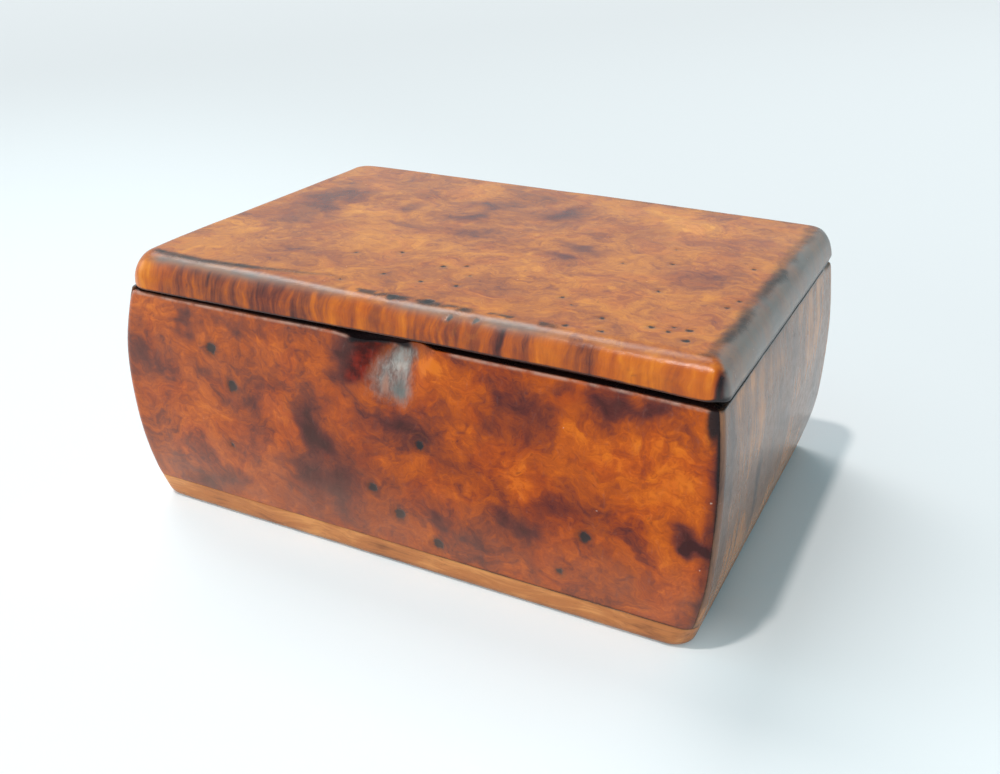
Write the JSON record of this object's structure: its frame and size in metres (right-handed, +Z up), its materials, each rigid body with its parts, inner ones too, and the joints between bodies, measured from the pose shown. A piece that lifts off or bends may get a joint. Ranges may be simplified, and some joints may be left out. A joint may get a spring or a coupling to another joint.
{
  "type": "snuff box",
  "caption": "Low rectangular burr-wood snuff box with barrel-shaped mitred walls, a thumb scoop in the front rim and a flat lid hinged along the back.",
  "frame": {"origin": "middle of the underside, on the surface that the box stands on, under the middle of its overall length and depth", "axes": "+X along the length, to the right as seen from the front; -Y is the front, with the thumb scoop; +Z up; the hinge runs along X at the back"},
  "size_m": [0.0902, 0.0617, 0.039],
  "materials": {
    "burr_wood": "polished burr, orange-red brown with dark eyes",
    "lid_wood": "polished burr, worn and darkened at the edges",
    "end_wood": "polished, up-and-down grain",
    "base_wood": "straight-grained, lighter, waxed",
    "hinge_brass": "aged, dull",
    "pin_brass": "aged, rubbed bright on top",
    "tin_foil": "dull tin foil, lightly creased"
  },
  "bodies": {
    "box": {"front_wall": "burr_wood", "back_wall": "burr_wood", "left_end_wall": "end_wood", "right_end_wall": "end_wood", "base_board": "base_wood", "hinge_leaf_body": "hinge_brass", "hinge_pin": "pin_brass", "hinge_nails_body": "pin_brass", "foil_lining_body": "tin_foil"},
    "lid": {"lid": "lid_wood", "hinge_leaf_lid": "hinge_brass", "hinge_nails_lid": "pin_brass", "foil_lining_lid": "tin_foil"}
  },
  "joints": [
    {"name": "lid_hinge", "type": "hinge", "parent": "box", "child": "lid", "pos_m": [0.0005, 0.02905, 0.034], "axis": [-1, 0, 0], "range_deg": [0, 95]}
  ]
}
